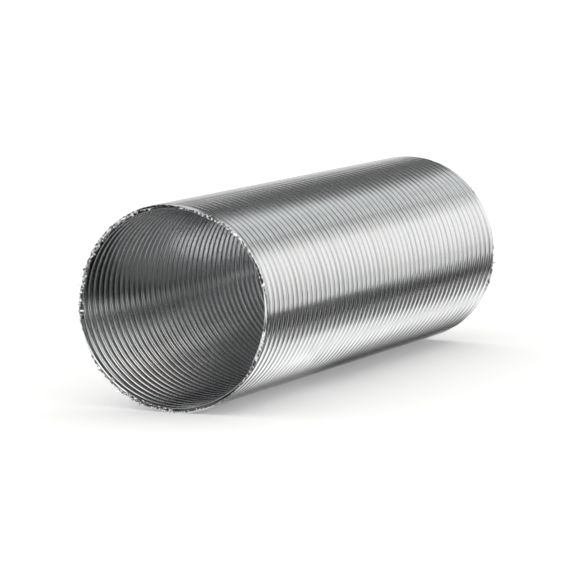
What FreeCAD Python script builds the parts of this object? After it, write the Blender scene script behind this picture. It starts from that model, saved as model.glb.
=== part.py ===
import FreeCAD, Part
import math
import os

# A flexible air duct of corrugated aluminium foil, lying on its side.
# One long strip is rolled into ribs and wound into a tube, each turn hooked to the next by a
# folded lock seam. The tube is divided here at those seams: every turn of wall, every seam
# band and both cut ends are pieces of their own.
# X runs along the duct from the near mouth, Z is up, and the origin is the near mouth's centre.
# All sizes are in millimetres.

# Bore and foil
bore_diameter = 101.0
foil_thickness = 0.12
rib_height = 2.7

# Widths along the duct
crest_width = 4.2
flank_run = 0.6
groove_width = 0.7
seam_width = 1.3

# Counts
turn_count = 12
ribs_per_turn = 4
ribs_per_end = 1
seam_plies = 4

# Depth of the flat that the duct lies on
foot_depth = 0.5

# Radii of the wall, outside and inside of the foil
bore_radius = bore_diameter / 2
crest_outside = bore_radius + rib_height
crest_inside = crest_outside - foil_thickness
groove_outside = bore_radius + foil_thickness
groove_inside = bore_radius
seam_outside = bore_radius + seam_plies * foil_thickness

# A fold carries the foil's inner face past its outer face by this much along the duct
flank_angle = math.atan2(rib_height - foil_thickness, flank_run)
fold_shift = foil_thickness * math.tan(flank_angle / 2)

# Lengths along the duct
rib_length = crest_width + 2 * flank_run
rib_pitch = rib_length + groove_width
turn_length = ribs_per_turn * rib_pitch - groove_width
end_length = ribs_per_end * rib_pitch
turn_lead = turn_length + seam_width
duct_length = 2 * end_length + turn_count * turn_lead + seam_width

# Half-space above the flat, larger than the duct on every other side
foot_level = -(crest_outside - foot_depth)
room = duct_length + 2 * crest_outside

duct_axis = FreeCAD.Vector(1, 0, 0)


def circle_at(station):
    """Closed wire of one circle round the duct's axis."""
    x, radius = station
    centre = FreeCAD.Vector(x, 0, 0)
    return Part.Wire([Part.Circle(centre, duct_axis, radius).toShape()])


def ribbed_solid(stations):
    """Solid of revolution as a ruled loft from circle to circle."""
    return Part.makeLoft([circle_at(station) for station in stations], True, True)


def rib_stations(start, low, high, shift):
    """The four circles of one rib: foot, crest edge, crest edge, foot."""
    rise = start + shift
    fall = start + rib_length - shift
    return [
        (rise, low),
        (rise + flank_run, high),
        (fall - flank_run, high),
        (fall, low),
    ]


def wall_stations(start, end, first_rib, rib_count, low, high, shift):
    """Circles of a stretch of wall: its two ends and the ribs between them."""
    stations = [(start, low)]
    for index in range(rib_count):
        stations += rib_stations(first_rib + index * rib_pitch, low, high, shift)
    stations.append((end, low))
    if stations[1][0] - start < foil_thickness / 2:
        del stations[0]
    if end - stations[-2][0] < foil_thickness / 2:
        del stations[-1]
    return stations


def above(level):
    """Block of everything above a level."""
    corner = FreeCAD.Vector(-room, -room, level)
    return Part.makeBox(3 * room, 2 * room, 2 * room, corner)


def foil_wall(start, end, first_rib, rib_count):
    """Closed foil wall, flattened underneath where the duct lies on it."""
    outside = ribbed_solid(
        wall_stations(start, end, first_rib, rib_count, groove_outside, crest_outside, 0.0)
    )
    inside = ribbed_solid(
        wall_stations(start, end, first_rib, rib_count, groove_inside, crest_inside, fold_shift)
    )
    outside = outside.common(above(foot_level))
    inside = inside.common(above(foot_level + foil_thickness))
    return outside.cut(inside).Solids[0]


def seam_start(number):
    """Place along the duct where a seam band starts, counted from 1."""
    return end_length + (number - 1) * turn_lead


def turn_of_wall(number):
    """One turn of ribbed wall between two seam bands."""
    start = seam_start(number) + seam_width
    return foil_wall(start, start + turn_length, start, ribs_per_turn)


def lock_seam(number):
    """Flat band of the two hooked strip edges, level with the bore."""
    centre = FreeCAD.Vector(seam_start(number), 0, 0)
    band = Part.makeCylinder(seam_outside, seam_width, centre, duct_axis)
    bore = Part.makeCylinder(bore_radius, seam_width, centre, duct_axis)
    return band.cut(bore)


def near_rim():
    """Cut end at the near mouth: a short land, then the rib beside the first seam."""
    return foil_wall(0.0, end_length, groove_width, ribs_per_end)


def far_rim():
    """Cut end at the far mouth, the near one turned round."""
    start = duct_length - end_length
    return foil_wall(start, duct_length, start, ribs_per_end)


def all_pieces():
    """Every piece of the duct under its name, from the near mouth to the far one."""
    pieces = {"near_rim": near_rim()}
    for number in range(1, turn_count + 1):
        pieces[f"lock_seam_{number:02d}"] = lock_seam(number)
        pieces[f"turn_{number:02d}"] = turn_of_wall(number)
    last_seam = turn_count + 1
    pieces[f"lock_seam_{last_seam:02d}"] = lock_seam(last_seam)
    pieces["far_rim"] = far_rim()
    return pieces


os.makedirs("parts", exist_ok=True)
for name, shape in all_pieces().items():
    shape.exportStep(f"parts/{name}.step")
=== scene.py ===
import math

import bmesh
import bpy
import numpy as np
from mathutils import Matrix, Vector


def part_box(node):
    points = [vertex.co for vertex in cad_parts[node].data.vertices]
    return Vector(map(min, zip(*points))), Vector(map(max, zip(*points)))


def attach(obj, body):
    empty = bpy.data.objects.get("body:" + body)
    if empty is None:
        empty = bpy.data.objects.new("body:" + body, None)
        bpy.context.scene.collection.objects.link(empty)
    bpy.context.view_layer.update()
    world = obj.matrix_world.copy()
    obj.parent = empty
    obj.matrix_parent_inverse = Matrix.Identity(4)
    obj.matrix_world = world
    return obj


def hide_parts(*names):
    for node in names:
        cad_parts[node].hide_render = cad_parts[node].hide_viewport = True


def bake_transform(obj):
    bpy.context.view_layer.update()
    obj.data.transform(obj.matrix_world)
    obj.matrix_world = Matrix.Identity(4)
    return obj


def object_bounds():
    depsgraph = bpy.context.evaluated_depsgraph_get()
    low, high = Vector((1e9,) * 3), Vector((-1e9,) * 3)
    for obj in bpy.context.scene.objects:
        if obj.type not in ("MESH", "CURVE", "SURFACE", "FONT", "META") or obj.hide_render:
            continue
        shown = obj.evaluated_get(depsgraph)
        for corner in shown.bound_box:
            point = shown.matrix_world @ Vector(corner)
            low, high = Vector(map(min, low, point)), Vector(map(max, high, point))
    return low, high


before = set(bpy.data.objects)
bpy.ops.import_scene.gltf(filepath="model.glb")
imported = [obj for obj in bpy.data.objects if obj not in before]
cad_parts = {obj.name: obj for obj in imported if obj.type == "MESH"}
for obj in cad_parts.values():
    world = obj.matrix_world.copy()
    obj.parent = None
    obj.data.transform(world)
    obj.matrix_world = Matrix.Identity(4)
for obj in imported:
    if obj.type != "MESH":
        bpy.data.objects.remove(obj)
cad_low, cad_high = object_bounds()

# The duct in the CAD frame, in metres: X runs along it from the near mouth
duct_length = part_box("far_rim")[1].x
crest_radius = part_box("turn_01")[1].y
bore_radius = 0.0505
foil = 0.00012
seam_count = 13
turn_count = seam_count - 1
seam_planes = [sum(corner.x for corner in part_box(f"lock_seam_{k + 1:02d}")) / 2 for k in range(seam_count)]
lead = seam_planes[1] - seam_planes[0]
floor_level = cad_low.z

# The strip's rolled section across one turn. Its first groove holds the lock seam. Away from the near mouth
# each rib rises steeply from its groove, is crowned a little and falls more gently.
ribs_per_turn = 4
seam_groove_width = 0.00125
groove_width = 0.00095
rise_run = 0.00060
fall_run = 0.00110
root_radius = 0.00030
shoulder_radius = 0.00050
fall_shoulder_radius = 0.00150
fall_root_radius = 0.00100
crest_crown = 0.00003
arc_steps = 4

# How far uneven stretching has moved the ribs along the duct: on average, more at the top and more at -Y,
# each as a polynomial in the share of the duct's length, from its third power down
uneven_stretch = [
    (0.0131, 0.0022, -0.0183, 0.0015),
    (-0.0328, 0.0429, -0.0106, -0.0002),
    (0.0040, 0.0054, -0.0083, 0.0003),
]

# Crumpling of the cut ends: degrees from the top towards -Y, how far the foil is pushed, and how deep it goes
near_crumpling = [
    (-180, 0.00060, 0.0016), (-160, 0.00070, 0.0018), (-140, 0.00080, 0.0022), (-128, 0.00060, 0.0018),
    (-122, 0.00012, 0.0012), (-108, 0.00010, 0.0012), (-100, 0.00040, 0.0016), (-80, 0.00070, 0.0030),
    (-50, 0.00080, 0.0040), (-28, 0.00060, 0.0026), (-18, 0.00016, 0.0012), (14, 0.00012, 0.0011),
    (18, 0.00045, 0.0012), (36, 0.00040, 0.0012), (42, 0.00008, 0.0010), (70, 0.00006, 0.0012),
    (74, 0.00040, 0.0014), (80, 0.00012, 0.0012), (100, 0.00010, 0.0012), (125, 0.00014, 0.0012),
    (160, 0.00035, 0.0014), (180, 0.00060, 0.0016),
]
far_crumpling = [
    (-180, 0.00040, 0.0012), (-90, 0.00045, 0.0014), (0, 0.00040, 0.0012), (80, 0.00035, 0.0011),
    (105, 0.00050, 0.0016), (130, 0.00040, 0.0012), (180, 0.00040, 0.0012),
]

# Bent cut edges: degrees from the top towards -Y, and how far inside the crests the edge lies there. All of
# an edge, at grooves and crests alike, is bent in or out to that one radius.
near_folds = [
    (-180, 0.0006), (-160, 0.0008), (-140, 0.0010), (-128, 0.0011), (-118, 0.0013), (-106, 0.0012),
    (-100, 0.0005), (-90, 0.0006), (-80, 0.0010), (-50, 0.0014), (-30, 0.0014), (-22, 0.0008), (-14, 0.0013),
    (0, 0.0014), (14, 0.0013), (26, 0.0011), (38, 0.0010), (50, 0.0009), (60, 0.0010), (73, 0.0013),
    (76, 0.0006), (93, 0.0004), (96, 0.0009), (99, 0.0004), (127, 0.0004), (145, 0.0004), (160, 0.0005),
    (180, 0.0006),
]
far_folds = [(-180, 0.0005), (0, 0.0008), (180, 0.0005)]

# Torn scraps on the cut edges: from and to in degrees round the duct, how many, length, width, and how they
# are bent, in degrees from the duct's axis outwards (+) or inwards (-)
near_scraps = [
    (-80, -25, 60, 0.0016, 0.0013, -75), (-78, -27, 40, 0.0012, 0.0009, -40),
    (-78, -62, 12, 0.0032, 0.0012, -15), (-25, -12, 9, 0.0010, 0.0008, -50),
    (-12, 17, 12, 0.0006, 0.0006, 60), (17, 38, 22, 0.0008, 0.0011, 65),
    (38, 72, 8, 0.0005, 0.0008, 60), (73, 80, 6, 0.0008, 0.0009, -60),
    (80, 125, 26, 0.0005, 0.0008, 40), (125, 160, 20, 0.0004, 0.0007, -60),
    (160, 180, 14, 0.0014, 0.0011, -50), (-180, -135, 40, 0.0014, 0.0012, -60),
    (-180, -138, 7, 0.0016, 0.0012, 20), (-131, -127, 3, 0.0016, 0.0014, 30),
    (-126, -106, 8, 0.0008, 0.0012, -70), (-105, -82, 24, 0.0012, 0.0009, -45),
    (-80, -79, 1, 0.0034, 0.0004, 45), (-73, -72, 1, 0.0034, 0.0004, 45),
]
far_scraps = [
    (-180, 180, 60, 0.0008, 0.0008, 10), (40, 60, 5, 0.0010, 0.0009, 30), (95, 115, 7, 0.0015, 0.0010, 20),
]

# Mesh fineness
wall_sides = 200
rim_sides = 800
rim_spacing = 0.00028

# A length that counts as nothing
tiny = 1e-6

# Creases of a crumpled end: cells round the duct and layers along it, and the depth that the layers fill
fine_cells, fine_layers = 430, 5
coarse_cells, coarse_layers = 150, 2
crease_reach = 0.003

# Shares of the crumpling: outwards or inwards by fine and by coarse creases, round the duct, along it, in the
# edge's teeth, and back from the mouth
fine_share, coarse_share, around_share = 0.6, 0.5, 0.5
along_share, teeth_share, back_share = 0.7, 0.6, 0.2

# Powers by which the crumpling and the edge's teeth fade with depth
crush_power, teeth_power = 0.7, 2

# Depth of a bent edge, as a share of how far it is bent, and how much a bend counts beside crumpling
bend_depth = 0.45
bend_weight = 8

# Crumpling above which a face is shaded flat
flat_above = 0.00008

# Torn scraps: how far they overlap the edge, steps along each, how much it narrows in a step, and the ranges
# of its place within its share of the edge, of its width and of its length
scrap_overlap = 0.00015
scrap_steps = 3
scrap_taper = 0.22
scrap_place, scrap_width, scrap_length = (0.1, 0.9), (0.6, 1.4), (0.5, 1.5)

# Spread of a scrap's first direction, and of its bends up or down and sideways after each step, in radians
first_spread, lift_spread, drift_spread = 0.35, 0.7, 0.3

# Seeds of the two cut ends
near_seed, far_seed = 11, 23

# The studio: half the floor's width, the floor's own light, the tent's places on X and its radius, and the
# level of the cards on the floor
floor_reach = 14.0
floor_lift = 0.12
tent_start, tent_middle, tent_end = -1.0, 3.5, 7.0
tent_radius = 2.6
card_height = floor_level + 0.0004


def rounded(points, radii, steps):
    """Polyline through points with each corner that has a radius rounded, as places and slope angles."""
    places = []
    for index, (x, y) in enumerate(points):
        radius = radii[index]
        if radius == 0:
            continue
        before, after = points[index - 1], points[index + 1]
        first = math.atan2(y - before[1], x - before[0])
        second = math.atan2(after[1] - y, after[0] - x)
        turn = second - first
        cut = radius * math.tan(abs(turn) / 2)
        side = 1 if turn > 0 else -1
        start = (x - cut * math.cos(first), y - cut * math.sin(first))
        centre = (start[0] - side * radius * math.sin(first), start[1] + side * radius * math.cos(first))
        for step in range(steps + 1):
            angle = first + turn * step / steps
            across = centre[0] + side * radius * math.sin(angle)
            height = centre[1] - side * radius * math.cos(angle)
            places.append((across, height, angle))
    return places


def strip_section():
    """Rows of place across the strip, radius and slope angle, for one turn starting in the seam's groove."""
    low = bore_radius + foil / 2
    high = crest_radius - foil / 2
    grooves = [seam_groove_width] + [groove_width] * (ribs_per_turn - 1)
    crest = (lead - sum(grooves)) / ribs_per_turn - rise_run - fall_run
    crown_radius = crest * 2
    corners, radii = [], []
    at = -seam_groove_width / 2
    for groove in grooves + [seam_groove_width]:
        rise = at + groove
        shoulder = rise + rise_run
        corners += [(at, low), (rise, low), (shoulder, high - crest_crown)]
        radii += [fall_root_radius, root_radius, shoulder_radius]
        corners += [(shoulder + crest / 2, high), (shoulder + crest, high - crest_crown)]
        radii += [crown_radius, fall_shoulder_radius]
        at += groove + rise_run + crest + fall_run
    radii[0] = radii[-1] = 0
    rows = rounded(corners, radii, arc_steps)
    return np.array([row for row in rows if 0 <= row[0] < lead])


section = strip_section()
section_places = np.concatenate([section[:, 0] - lead, section[:, 0], section[:, 0] + lead])
section_radii = np.tile(section[:, 1], 3)
section_slopes = np.tile(section[:, 2], 3)


def rib_at(place):
    """Radius and slope angle of the rolled section at a place along the winding."""
    across = np.mod(place, lead)
    return np.interp(across, section_places, section_radii), np.interp(across, section_places, section_slopes)


def slip(x, angle):
    """How far uneven stretching has moved the ribs along the duct."""
    share = x / duct_length
    mean, top, side = (np.polyval(terms, share) for terms in uneven_stretch)
    return mean + top * np.cos(angle) + side * np.sin(angle)


def place_of(x, angle):
    """Place along the winding: the ribs come forward as the angle grows from the top towards -Y."""
    return x - slip(x, angle) - seam_planes[0] + lead * angle / (2 * math.pi)


def length_at(place, angle):
    """Length along the duct of a place along the winding, by repeats that settle the uneven stretch."""
    repeats = 6
    evenly = place + seam_planes[0] - lead * angle / (2 * math.pi)
    x = evenly
    for _ in range(repeats):
        x = evenly + slip(x, angle)
    return x


def point_on(x, radius, angle):
    """Points of the duct by length, radius and angle from the top towards -Y."""
    return np.stack([x + 0 * radius, -radius * np.sin(angle), radius * np.cos(angle)], axis=-1)


def normal_on(x, slope, radius, angle):
    """Outward normals of the helical wall."""
    step = 1e-5
    rise = np.tan(slope)
    along = -rise * (place_of(x + step, angle) - place_of(x, angle)) / step
    around = -rise * (place_of(x, angle + step) - place_of(x, angle)) / step / radius
    length = np.sqrt(1 + along**2 + around**2)
    radial = point_on(0 * radius, 1 + 0 * radius, angle)
    tangent = point_on(0 * radius, 1 + 0 * radius, angle + math.pi / 2)
    axis = np.array([1.0, 0.0, 0.0])
    return (radial + along[:, None] * axis + around[:, None] * tangent) / length[:, None]


def filled(rows, spacing):
    """Section rows with more of them where they lie further apart than the spacing."""
    closed = np.vstack([rows, rows[:1] + [lead, 0, 0]])
    parts = []
    for first, second in zip(closed, closed[1:]):
        count = max(1, math.ceil((second[0] - first[0]) / spacing))
        shares = np.arange(count)[:, None] / count
        parts.append(first + (second - first) * shares)
    return np.vstack(parts)


def wound_sheet(rows_across, sides, start, end):
    """The wound strip from start to end as one welded sheet of quads, with the strip's coordinates as UVs."""
    per_turn = len(rows_across)
    first_turn = math.floor(place_of(start, 0.0) / lead) - 1
    last_turn = math.ceil(place_of(end, 2 * math.pi) / lead) + 1
    turns = np.arange(first_turn, last_turn)
    rows = len(turns) * per_turn
    places = (turns[:, None] * lead + rows_across[None, :, 0]).ravel()
    radii = np.tile(rows_across[:, 1], len(turns))
    angles = np.arange(sides) * 2 * math.pi / sides
    x = length_at(places[:, None], angles[None, :])
    points = point_on(x, radii[:, None] + 0 * x, angles[None, :] + 0 * x).reshape(-1, 3)
    row, column = np.meshgrid(np.arange(rows - 1), np.arange(sides), indexing="ij")
    last = column == sides - 1
    next_column = np.where(last, 0, column + 1)
    drop = np.where(last, per_turn, 0)
    margin = 0.0015
    keep = (row - drop >= 0) & (x[:-1] > start - margin) & (x[1:] < end + margin)
    near_left = row * sides + column
    far_left = (row + 1) * sides + column
    near_right = (row - drop) * sides + next_column
    far_right = (row + 1 - drop) * sides + next_column
    quads = np.stack([near_left, near_right, far_right, far_left], axis=-1)[keep]
    turn_of_row = row[keep] // per_turn + first_turn
    across = places[row[keep]] - turn_of_row * lead
    next_across = places[row[keep] + 1] - turn_of_row * lead
    along = column[keep] / sides
    step = 1 / sides
    girth = 2 * math.pi * crest_radius
    u = np.stack([along, along + step, along + step, along], axis=-1) - turn_of_row[:, None]
    v = np.stack([across, across, next_across, next_across], axis=-1)
    return points, quads, np.stack([u * girth, v], axis=-1).reshape(-1, 2)


def face_starts(sizes):
    """First corner of each face, from the faces' numbers of corners."""
    return np.concatenate([[0], np.cumsum(sizes)[:-1]])


def mesh_from(name, points, corners, sizes, uvs, smooth):
    """Mesh from points, the corners' vertices, the faces' sizes, the corners' UVs and which faces are smooth.

    The UVs are places on the flat strip, in metres.
    """
    mesh = bpy.data.meshes.new(name)
    mesh.vertices.add(len(points))
    mesh.vertices.foreach_set("co", points.astype(np.float32).ravel())
    mesh.loops.add(len(corners))
    mesh.loops.foreach_set("vertex_index", corners.astype(np.int32))
    mesh.polygons.add(len(sizes))
    mesh.polygons.foreach_set("loop_start", face_starts(sizes).astype(np.int32))
    mesh.polygons.foreach_set("use_smooth", smooth)
    mesh.uv_layers.new(name="strip").data.foreach_set("uv", uvs.astype(np.float32).ravel())
    mesh.update(calc_edges=True)
    return mesh


def cut_sheet(mesh, planes, low, high):
    """Cuts the sheet along the planes and drops what lies outside low and high."""
    on_plane = 1e-7
    work = bmesh.new()
    work.from_mesh(mesh)
    for plane in planes + [low, high]:
        geometry = work.verts[:] + work.edges[:] + work.faces[:]
        bmesh.ops.bisect_plane(
            work,
            geom=geometry,
            dist=on_plane,
            plane_co=(plane, 0, 0),
            plane_no=(1, 0, 0),
            clear_inner=plane == low,
            clear_outer=plane == high,
        )
    work.to_mesh(mesh)
    work.free()
    mesh.update()


def read_mesh(mesh):
    """Arrays of a mesh: points, corner vertices, corner UVs, and each face's first corner and size."""
    points = np.zeros(len(mesh.vertices) * 3, np.float32)
    mesh.vertices.foreach_get("co", points)
    corners = np.zeros(len(mesh.loops), np.int32)
    mesh.loops.foreach_get("vertex_index", corners)
    uvs = np.zeros(len(mesh.loops) * 2, np.float32)
    mesh.uv_layers["strip"].data.foreach_get("uv", uvs)
    starts = np.zeros(len(mesh.polygons), np.int32)
    sizes = np.zeros(len(mesh.polygons), np.int32)
    mesh.polygons.foreach_get("loop_start", starts)
    mesh.polygons.foreach_get("loop_total", sizes)
    return points.reshape(-1, 3).astype(float), corners, uvs.reshape(-1, 2), starts, sizes


def foil_piece(name, points, normals, corners, uvs, sizes, flat):
    """Closed foil from a sheet moved out and in by half its thickness. Faces marked flat show as creases."""
    count = len(points)
    both = np.concatenate([points + normals * foil / 2, points - normals * foil / 2])
    starts = face_starts(sizes)
    face_of = np.repeat(np.arange(len(sizes)), sizes)
    position = np.arange(len(corners)) - starts[face_of]
    mirrored = starts[face_of] + sizes[face_of] - 1 - position
    following = starts[face_of] + (position + 1) % sizes[face_of]
    tail, head = corners, corners[following]
    forward = set(zip(tail.tolist(), head.tolist()))
    edge = np.array([(b, a) not in forward for a, b in zip(tail.tolist(), head.tolist())])
    rim = np.stack([tail[edge], tail[edge] + count, head[edge] + count, head[edge]], axis=-1)
    ahead = uvs[following]
    rim_uvs = np.stack([uvs[edge], uvs[edge], ahead[edge], ahead[edge]], axis=1).reshape(-1, 2)
    all_corners = np.concatenate([corners, corners[mirrored] + count, rim.ravel()])
    all_uvs = np.concatenate([uvs, uvs[mirrored], rim_uvs])
    all_sizes = np.concatenate([sizes, sizes, np.full(len(rim), 4)])
    smooth = np.concatenate([~flat, ~flat, np.zeros(len(rim), bool)])
    mesh = mesh_from(name, both, all_corners, all_sizes, all_uvs, smooth)
    outer, inner = normals[corners], -normals[corners[mirrored]]
    creased = np.repeat(flat, sizes)
    outer[creased] = inner[creased] = 0
    corner_normals = np.concatenate([outer, inner, np.zeros((rim.size, 3))])
    mesh.normals_split_custom_set(corner_normals.astype(np.float32).tolist())
    piece = bpy.data.objects.new(name, mesh)
    bpy.context.scene.collection.objects.link(piece)
    return piece


def cut_strip(rows_across, sides, planes, start, end):
    """The wound strip from start to end, cut at the planes, with its true normals."""
    points, quads, uvs = wound_sheet(rows_across, sides, start, end)
    sizes, smooth = np.full(len(quads), 4), np.ones(len(quads), bool)
    mesh = mesh_from("wound_strip", points, quads.ravel(), sizes, uvs, smooth)
    cut_sheet(mesh, planes, start, end)
    points, corners, uvs, starts, sizes = read_mesh(mesh)
    bpy.data.meshes.remove(mesh)
    angles = np.mod(np.arctan2(-points[:, 1], points[:, 2]), 2 * math.pi)
    radii, slopes = rib_at(place_of(points[:, 0], angles))
    normals = normal_on(points[:, 0], slopes, radii, angles)
    return points, normals, angles, corners, uvs, starts, sizes


def wall_pieces():
    """The wound wall between the first and the last seam, divided at the seam planes."""
    planes = seam_planes[1:-1]
    points, normals, _, corners, uvs, starts, sizes = cut_strip(
        section, wall_sides, planes, seam_planes[0], seam_planes[-1]
    )
    points, normals = rested(points, normals)
    middle = np.add.reduceat(points[corners, 0], starts) / sizes
    bands = np.searchsorted(planes, middle)
    pieces = []
    for band in range(turn_count):
        chosen = np.flatnonzero(bands == band)
        take = np.concatenate([np.arange(starts[f], starts[f] + sizes[f]) for f in chosen])
        used, renumbered = np.unique(corners[take], return_inverse=True)
        name = f"ribbed_wall_{band + 1:02d}"
        flat = np.zeros(len(chosen), bool)
        pieces.append(
            foil_piece(name, points[used], normals[used], renumbered, uvs[take], sizes[chosen], flat)
        )
    return pieces


def rested(points, normals):
    """The wall with its lowest crests pressed flat where it lies on the floor."""
    low = floor_level + foil / 2
    pressed = points[:, 2] < low
    points, normals = points.copy(), normals.copy()
    points[pressed, 2] = low
    normals[pressed] = (0, 0, -1)
    return points, normals


def ragged(angles, depths, cells, layers, seed):
    """Creased random field round the duct and along it, between -1 and 1."""
    within_last = 0.9999
    grid = np.random.default_rng(seed).uniform(-1, 1, (layers + 1, cells))
    across = angles / (2 * math.pi) * cells
    column = np.floor(across).astype(int)
    along = np.clip(depths / crease_reach, 0, within_last) * layers
    layer = np.floor(along).astype(int)
    u, v = across - column, along - layer
    left, right = column % cells, (column + 1) % cells
    near = grid[layer, left] * (1 - u) + grid[layer, right] * u
    far = grid[layer + 1, left] * (1 - u) + grid[layer + 1, right] * u
    return near * (1 - v) + far * v


def torn_scraps(angles, edge, outward, scraps, seed):
    """Small curled scraps of foil that hang on a cut edge, each a short row of quads."""
    random = np.random.default_rng(seed)
    order = np.argsort(angles)
    places = np.concatenate([angles[order] - 2 * math.pi, angles[order], angles[order] + 2 * math.pi])
    edge_x = np.tile(edge[order, 0], 3)
    edge_radius = np.tile(np.hypot(edge[order, 1], edge[order, 2]), 3)
    points, normals, uvs = [], [], []
    for first, last, count, length, width, lean in scraps:
        for number in range(count):
            middle = math.radians(first + (last - first) * (number + random.uniform(*scrap_place)) / count)
            middle %= 2 * math.pi
            half = width / 2 / bore_radius * random.uniform(*scrap_width)
            radial = np.array([0, -math.sin(middle), math.cos(middle)])
            tangent = np.array([0, -math.cos(middle), -math.sin(middle)])
            x = np.interp(middle, places, edge_x) - outward * scrap_overlap
            radius = np.interp(middle, places, edge_radius)
            centre = np.array([x, 0, 0]) + radial * radius
            across = tangent * math.cos(half)
            lift = math.radians(lean) + random.normal(0, first_spread)
            drift = random.normal(0, first_spread)
            step = length * random.uniform(*scrap_length) / scrap_steps
            for row in range(scrap_steps + 1):
                heading = np.array([outward * math.cos(lift), 0, 0]) + radial * math.sin(lift)
                heading = heading * math.cos(drift) + tangent * math.sin(drift)
                taper = half * bore_radius * (1 - scrap_taper * row)
                normal = np.cross(across, heading)
                normal /= np.linalg.norm(normal)
                for side in (-1, 1):
                    points.append(centre + across * side * taper)
                    normals.append(normal)
                    uvs.append((middle * bore_radius + side * taper, row * step))
                centre = centre + heading * step
                lift += random.normal(0, lift_spread)
                drift += random.normal(0, drift_spread)
    points_each = 2 * (scrap_steps + 1)
    firsts = np.arange(0, len(points), points_each)[:, None, None]
    rows = 2 * np.arange(scrap_steps)[None, :, None]
    quads = (firsts + rows + np.array([0, 1, 3, 2])[None, None, :]).ravel()
    return np.array(points), np.array(normals), quads, np.array(uvs)[quads]


def around_table(angles, table):
    """A table's further columns at the angles. Its first column is degrees from the top towards -Y."""
    degrees = np.mod(np.degrees(angles) + 180, 360) - 180
    places, *columns = zip(*table)
    return [np.interp(degrees, places, column) for column in columns]


def crumpled_end(points, angles, depth, outward, crumpling, seed):
    """Points near a cut edge pushed into creases, and how far the crumpling may push each of them."""
    amount, reach = around_table(angles, crumpling)
    fade = np.clip(1 - depth / reach, 0, 1)
    crush = amount * fade**crush_power
    radial = point_on(0 * angles, 1 + 0 * angles, angles)
    around = point_on(0 * angles, 1 + 0 * angles, angles + math.pi / 2)
    bumps = fine_share * ragged(angles, depth, fine_cells, fine_layers, seed)
    bumps += coarse_share * ragged(angles, depth, coarse_cells, coarse_layers, seed + 1)
    pushes = ragged(angles, depth, fine_cells, fine_layers, seed + 2)
    slides = ragged(angles, depth, fine_cells, fine_layers, seed + 3)
    teeth = ragged(angles, 0 * depth, fine_cells, 1, seed + 4)
    moved = points + radial * (crush * bumps)[:, None] + around * (around_share * crush * slides)[:, None]
    pushed = along_share * crush * pushes + teeth_share * amount * teeth * fade**teeth_power
    moved[:, 0] += outward * (pushed - back_share * crush)
    return moved, crush


def bent_edge(points, angles, depth, folds):
    """Points near a cut edge with the edge bent to its radius, and how far each of them is bent."""
    (fold,) = around_table(angles, folds)
    centre = np.hypot(points[:, 1], points[:, 2])
    limit = crest_radius - foil / 2
    radii = np.minimum(centre, limit)
    bend = limit - fold - radii
    bend *= np.clip(1 - depth / (bend_depth * np.maximum(np.abs(bend), tiny)), 0, 1)
    moved = points.copy()
    moved[:, 1:] *= ((radii + bend) / centre)[:, None]
    return moved, np.abs(bend)


def cut_end(name, outward, crumpling, folds, scraps, seed):
    """Raw cut end of the strip, crumpled by the saw: outward is -1 at the near mouth and 1 at the far one."""
    mouth = 0.0 if outward < 0 else duct_length
    plane = seam_planes[0] if outward < 0 else seam_planes[-1]
    start, end = min(mouth, plane), max(mouth, plane)
    rows = filled(section, rim_spacing)
    points, normals, angles, corners, uvs, starts, sizes = cut_strip(rows, rim_sides, [], start, end)
    depth = np.abs(points[:, 0] - mouth)
    points, crush = crumpled_end(points, angles, depth, outward, crumpling, seed)
    points, bend = bent_edge(points, angles, depth, folds)
    flat = np.add.reduceat(np.maximum(crush, bend_weight * bend)[corners], starts) / sizes > flat_above
    on_edge = depth < tiny
    scrap_points, scrap_normals, scrap_corners, scrap_uvs = torn_scraps(
        angles[on_edge], points[on_edge], outward, scraps, seed + 5
    )
    scrap_quads = len(scrap_corners) // 4
    corners = np.concatenate([corners, scrap_corners + len(points)])
    points, normals = np.concatenate([points, scrap_points]), np.concatenate([normals, scrap_normals])
    uvs = np.concatenate([uvs, scrap_uvs])
    sizes = np.concatenate([sizes, np.full(scrap_quads, 4)])
    flat = np.concatenate([flat, np.ones(scrap_quads, bool)])
    points, normals = rested(points, normals)
    return foil_piece(name, points, normals, corners, uvs, sizes, flat)


def foil_material():
    """Bright rolled aluminium with faint streaks along the strip."""
    material = bpy.data.materials.new("rolled_aluminium")
    material.use_nodes = True
    nodes, links = material.node_tree.nodes, material.node_tree.links
    shader = nodes["Principled BSDF"]
    shader.inputs["Metallic"].default_value = 1.0
    uv = nodes.new("ShaderNodeUVMap")
    uv.uv_map = "strip"
    stretch = nodes.new("ShaderNodeMapping")
    stretch.inputs["Scale"].default_value = (6.0, 2600.0, 1.0)
    links.new(uv.outputs["UV"], stretch.inputs["Vector"])
    streaks = nodes.new("ShaderNodeTexNoise")
    streaks.inputs["Scale"].default_value = 1.0
    streaks.inputs["Detail"].default_value = 3.0
    links.new(stretch.outputs["Vector"], streaks.inputs["Vector"])
    tint = nodes.new("ShaderNodeValToRGB")
    tint.color_ramp.elements[0].position = 0.3
    tint.color_ramp.elements[0].color = (0.80, 0.81, 0.82, 1)
    tint.color_ramp.elements[1].position = 0.7
    tint.color_ramp.elements[1].color = (0.93, 0.935, 0.94, 1)
    links.new(streaks.outputs["Fac"], tint.inputs["Fac"])
    links.new(tint.outputs["Color"], shader.inputs["Base Color"])
    rough = nodes.new("ShaderNodeMapRange")
    rough.inputs["To Min"].default_value = 0.10
    rough.inputs["To Max"].default_value = 0.18
    links.new(streaks.outputs["Fac"], rough.inputs["Value"])
    links.new(rough.outputs["Result"], shader.inputs["Roughness"])
    bump = nodes.new("ShaderNodeBump")
    bump.inputs["Strength"].default_value = 0.06
    bump.inputs["Distance"].default_value = 0.00002
    links.new(streaks.outputs["Fac"], bump.inputs["Height"])
    links.new(bump.outputs["Normal"], shader.inputs["Normal"])
    return material


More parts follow.
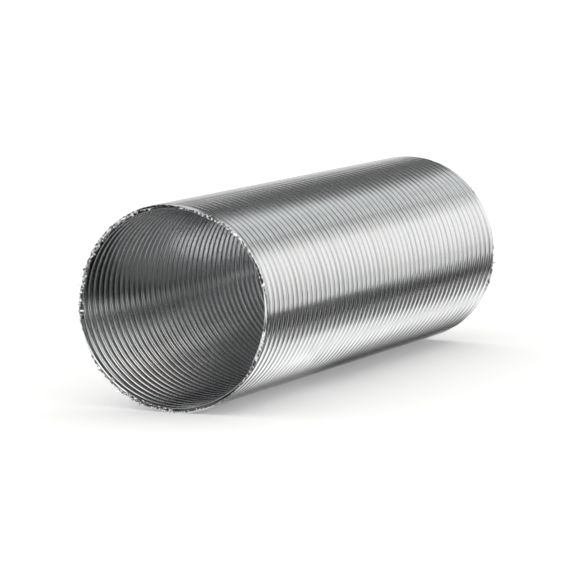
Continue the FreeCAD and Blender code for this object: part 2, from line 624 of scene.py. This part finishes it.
def floor_material(lift):
    """Matt white floor, a little lifted for the eye and for what the metal shows of it."""
    material = bpy.data.materials.new("floor_white")
    material.use_nodes = True
    nodes, links = material.node_tree.nodes, material.node_tree.links
    shader = nodes["Principled BSDF"]
    shader.inputs["Base Color"].default_value = (1.0, 1.0, 1.0, 1)
    shader.inputs["Specular IOR Level"].default_value = 0.0
    shader.inputs["Emission Color"].default_value = (1.0, 1.0, 1.0, 1)
    path = nodes.new("ShaderNodeLightPath")
    seen = nodes.new("ShaderNodeMath")
    seen.operation = "MAXIMUM"
    links.new(path.outputs["Is Camera Ray"], seen.inputs[0])
    links.new(path.outputs["Is Glossy Ray"], seen.inputs[1])
    strength = nodes.new("ShaderNodeMath")
    strength.operation = "MULTIPLY"
    strength.inputs[1].default_value = lift
    links.new(seen.outputs["Value"], strength.inputs[0])
    links.new(strength.outputs["Value"], shader.inputs["Emission Strength"])
    return material


def card_material():
    """Evenly lit card with the shades that its mesh carries."""
    material = bpy.data.materials.new("studio_card")
    material.use_nodes = True
    nodes, links = material.node_tree.nodes, material.node_tree.links
    nodes.remove(nodes["Principled BSDF"])
    shade = nodes.new("ShaderNodeVertexColor")
    shade.layer_name = "shade"
    glow = nodes.new("ShaderNodeEmission")
    links.new(shade.outputs["Color"], glow.inputs["Color"])
    links.new(glow.outputs["Emission"], nodes["Material Output"].inputs["Surface"])
    return material


def staged(name, points, faces, material):
    """Stage object from points and faces."""
    mesh = bpy.data.meshes.new(name)
    mesh.from_pydata(points, [], faces)
    mesh.materials.append(material)
    thing = bpy.data.objects.new(name, mesh)
    bpy.context.scene.collection.objects.link(thing)
    return thing


def reflected_only(thing):
    """A studio card that shows in reflections and nowhere else."""
    thing.visible_camera = False
    thing.visible_diffuse = False
    thing.visible_shadow = False


def greys(stops):
    """Shades without a tint for stops of place and level."""
    return [(level, level, level) for place, level in stops]


def graded_strip(name, lines, shades, material):
    """Reflected card between lines, each a pair of points with a shade of its own."""
    points = [point for line in lines for point in line]
    faces = [(2 * k, 2 * k + 1, 2 * k + 3, 2 * k + 2) for k in range(len(lines) - 1)]
    card = staged(name, points, faces, material)
    layer = card.data.color_attributes.new("shade", "FLOAT_COLOR", "POINT")
    for index, shade in enumerate(shades):
        for end in (0, 1):
            layer.data[2 * index + end].color = (*shade, 1)
    reflected_only(card)


def tent_card(name, start, end, stops, material):
    """Graded tent over the duct between two places on X: degrees from the top towards -Y, level and tint."""
    lines, shades = [], []
    for (first, level, tint), (second, next_level, next_tint) in zip(stops, stops[1:]):
        for share in (0.0, 0.25, 0.5, 0.75, 1.0):
            angle = math.radians(first + (second - first) * share)
            y, z = -tent_radius * math.sin(angle), tent_radius * math.cos(angle)
            lines.append([(start, y, z), (end, y, z)])
            mixed = [(level * a) * (1 - share) + (next_level * b) * share for a, b in zip(tint, next_tint)]
            shades.append(mixed)
    graded_strip(name, lines, shades, material)


def overhead_cards(material):
    """The tent's far part, which the crests reflect, and its near part, which the ribs' near shoulders do."""
    white, cool, warm = (1.0, 1.0, 1.0), (0.97, 1.0, 1.0), (1.0, 0.99, 0.975)
    stops = [
        (-94, 1.00, white), (-82, 0.76, white), (-72, 0.50, white), (-62, 0.30, white), (-52, 0.13, white),
        (-45, 0.05, white), (-20, 0.15, white), (-12, 0.35, white),
        (-5, 0.72, cool), (14, 0.62, cool), (23, 0.80, cool), (24.5, 0.20, cool), (28.5, 0.15, cool),
        (30, 0.72, warm), (40, 0.76, warm), (50, 0.95, warm), (68, 1.00, warm), (92, 0.90, warm),
    ]
    tent_card("far_tent", tent_middle, tent_end, stops, material)
    stops = [
        (-94, 0.95, white), (-62, 0.85, white), (-45, 0.55, white), (-32, 0.85, white), (-20, 0.60, white),
        (-12, 0.20, white), (6, 0.20, cool), (10, 0.55, cool), (16, 0.50, cool), (22, 0.25, cool),
        (43, 0.25, warm), (48, 1.00, warm), (68, 0.80, warm), (92, 0.60, warm),
    ]
    tent_card("near_tent", tent_start, tent_middle, stops, material)


def floor_cards(material):
    """Graded reflectors on the floor at -Y, in three parts along X: distances from the axis with levels."""
    beside_start, behind_start, beyond_start = -0.004, 0.12, 0.35
    blue = 0.985
    beside = [
        (2.60, 0.69), (0.80, 0.60), (0.40, 0.05), (0.23, 0.00), (0.15, 0.10), (0.11, 0.20), (0.096, 0.75),
        (0.075, 0.95), (0.056, 1.12), (0.044, 1.15), (0.036, 0.45), (0.031, 0.25), (0.026, 0.12),
        (0.022, 0.08),
    ]
    behind = [
        (2.60, 0.69), (0.80, 0.60), (0.40, 0.00), (0.23, 0.00), (0.19, 0.16), (0.15, 0.08), (0.11, 0.02),
        (0.090, 0.52), (0.075, 0.82), (0.065, 1.15), (0.056, 1.00), (0.044, 0.60), (0.036, 0.22),
        (0.031, 0.10), (0.022, 0.00),
    ]
    beyond = [
        (2.60, 0.70), (0.80, 0.80), (0.40, 0.80), (0.25, 0.78), (0.20, 0.14), (0.15, 0.08), (0.11, 0.02),
        (0.090, 0.50), (0.075, 1.00), (0.065, 1.20), (0.056, 1.10), (0.044, 0.60), (0.031, 0.20),
        (0.022, 0.10),
    ]
    for name, start, end, stops in (
        ("floor_card_beside", beside_start, behind_start, beside),
        ("floor_card_behind", behind_start, beyond_start, behind),
        ("floor_card_beyond", beyond_start, tent_end, beyond),
    ):
        lines = [
            [(start, -distance, card_height), (end, -distance, card_height)] for distance, level in stops
        ]
        graded_strip(name, lines, [(level, level, level * blue) for distance, level in stops], material)


def front_cards(material):
    """Dark end of the studio before the near mouth, with soft boxes in it and graded patches on its floor."""
    low, high, half_width = floor_level + 0.002, 2.70, 3.0
    dark = 0.01
    box_x = tent_start + 0.004
    patch_end, patch_gap = -0.006, 0.0002
    # Y from, Y to, and heights with their levels
    boxes = [
        (-3.00, -1.70, [(0.15, 0.00), (0.18, 1.10), (2.60, 1.20)]),
        (-1.70, -1.10, [(0.15, 0.05), (0.38, 0.60), (0.68, 1.40), (0.75, 1.80), (2.60, 1.80)]),
        (-1.10, -0.70, [
            (0.13, 0.00), (0.28, 0.70), (0.42, 1.60), (0.56, 0.90), (0.95, 0.90), (1.10, 1.90), (2.60, 1.90),
        ]),
        (-0.70, -0.40, [(0.15, 0.02), (0.32, 0.06), (0.46, 1.80), (0.80, 1.60), (2.60, 1.90)]),
        (-0.40, -0.20, [(low, 0.15), (0.15, 0.06), (0.58, 0.06), (0.72, 1.60), (2.60, 1.70)]),
        (-0.20, 0.00, [(low, 0.40), (0.15, 0.08), (0.75, 0.06), (0.92, 0.90), (2.60, 0.90)]),
        (0.00, 0.20, [(low, 0.40), (0.15, 0.05), (0.90, 0.05), (1.10, 0.40), (2.60, 0.40)]),
        (0.20, 0.90, [(low, 1.10), (0.14, 1.10), (0.16, 0.00)]),
        (0.45, 0.90, [(0.28, 0.00), (0.29, 0.80), (0.44, 0.80), (0.46, 0.22), (0.70, 0.15), (0.71, 0.00)]),
    ]
    stops = [(low, dark), (high, dark)]
    lines = [[(tent_start, -half_width, z), (tent_start, half_width, z)] for z, level in stops]
    graded_strip("front_card", lines, greys(stops), material)
    for number, (first, second, stops) in enumerate(boxes):
        lines = [[(box_x, first, z), (box_x, second, z)] for z, level in stops]
        graded_strip(f"front_box_{number + 1}", lines, greys(stops), material)
    # Y from, Y to, and places along X with their levels, each patch a little above the one before
    patches = [
        (-1.5, 1.5, [(tent_start, 0.03), (patch_end, 0.03)]),
        (-0.1, 0.1, [
            (tent_start, 0.60), (-0.42, 0.60), (-0.38, 0.15), (-0.16, 0.12), (-0.15, 0.00), (-0.082, 0.00),
            (-0.078, 0.12), (patch_end, 0.12),
        ]),
        (0.1, 1.5, [(tent_start, 1.10), (patch_end, 1.10)]),
        (-0.4, -0.1, [(-0.28, 0.75), (-0.17, 0.75), (-0.15, 0.60), (-0.08, 0.60)]),
        (-1.5, -0.4, [(-0.40, 0.35), (-0.25, 0.35)]),
    ]
    for number, (first, second, stops) in enumerate(patches):
        height = card_height + patch_gap * number
        lines = [[(x, first, height), (x, second, height)] for x, level in stops]
        graded_strip(f"front_floor_{number + 1}", lines, greys(stops), material)


def mouth_card(material):
    """Graded disc behind the far mouth: light from its upper right, dark on the left."""
    gap, inset, edges = 0.006, 0.0005, 48
    middle_level = 0.35
    stops = [
        (0, 0.55), (45, 0.95), (90, 0.70), (135, 0.40), (225, 0.15), (300, 0.00), (330, 0.00), (360, 0.55),
    ]
    rim = [math.radians(360 * k / edges) for k in range(edges)]
    x, radius = duct_length + gap, bore_radius - inset
    points = [(x, 0, 0)] + [(x, -radius * math.sin(a), radius * math.cos(a)) for a in rim]
    faces = [(0, 1 + k, 1 + (k + 1) % edges) for k in range(edges)]
    card = staged("mouth_card", points, faces, material)
    layer = card.data.color_attributes.new("shade", "FLOAT_COLOR", "POINT")
    places, levels = zip(*stops)
    for entry, level in zip(layer.data, [middle_level, *np.interp(np.degrees(rim), places, levels)]):
        entry.color = (level, level, level, 1)
    reflected_only(card)


def build_stage():
    """Pale floor and the studio's cards."""
    corners = [(-1, -1), (1, -1), (1, 1), (-1, 1)]
    points = [(x * floor_reach, y * floor_reach, floor_level) for x, y in corners]
    staged("floor", points, [(0, 1, 2, 3)], floor_material(floor_lift))
    card = card_material()
    overhead_cards(card)
    floor_cards(card)
    front_cards(card)
    mouth_card(card)


def build_light():
    """White surroundings."""
    world = bpy.data.worlds.new("studio")
    bpy.context.scene.world = world
    world.use_nodes = True
    background = world.node_tree.nodes["Background"]
    background.inputs["Color"].default_value = (1.0, 0.995, 0.985, 1)
    background.inputs["Strength"].default_value = 1.0


def build_camera():
    """Long lens from the front, a little above, as in the photograph."""
    camera = bpy.data.objects.new("camera", bpy.data.cameras.new("camera"))
    bpy.context.scene.collection.objects.link(camera)
    camera.data.sensor_width = 36.0
    camera.data.lens = 232.65
    camera.location = (-1.6526, -0.8087, 0.2315)
    forward = Vector((0.905, 0.4086, -0.1184))
    camera.rotation_euler = forward.to_track_quat("-Z", "Y").to_euler()
    camera.data.clip_start, camera.data.clip_end = 0.01, 60.0
    bpy.context.scene.camera = camera


def build_duct():
    """All pieces of the duct: the cut ends on their bodies, the wall pieces baked where they stand."""
    bodies = ["near_end"] + [f"ring_{k:02d}" for k in range(2, seam_count)] + ["far_end"]
    metal = foil_material()
    near = cut_end("near_cut_end", -1, near_crumpling, near_folds, near_scraps, near_seed)
    far = cut_end("far_cut_end", 1, far_crumpling, far_folds, far_scraps, far_seed)
    pieces = [near] + wall_pieces() + [far]
    for piece in pieces:
        piece.data.materials.append(metal)
    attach(pieces[0], bodies[0])
    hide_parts("near_rim", "lock_seam_01")
    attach(pieces[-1], bodies[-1])
    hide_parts("far_rim", f"lock_seam_{seam_count:02d}")
    for turn in range(1, seam_count):
        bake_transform(pieces[turn])
        others = [f"lock_seam_{turn + 1:02d}"] if turn < turn_count else []
        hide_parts(f"turn_{turn:02d}", *others)


build_camera()
build_stage()
build_light()
build_duct()
bpy.context.scene.view_settings.view_transform = "Standard"
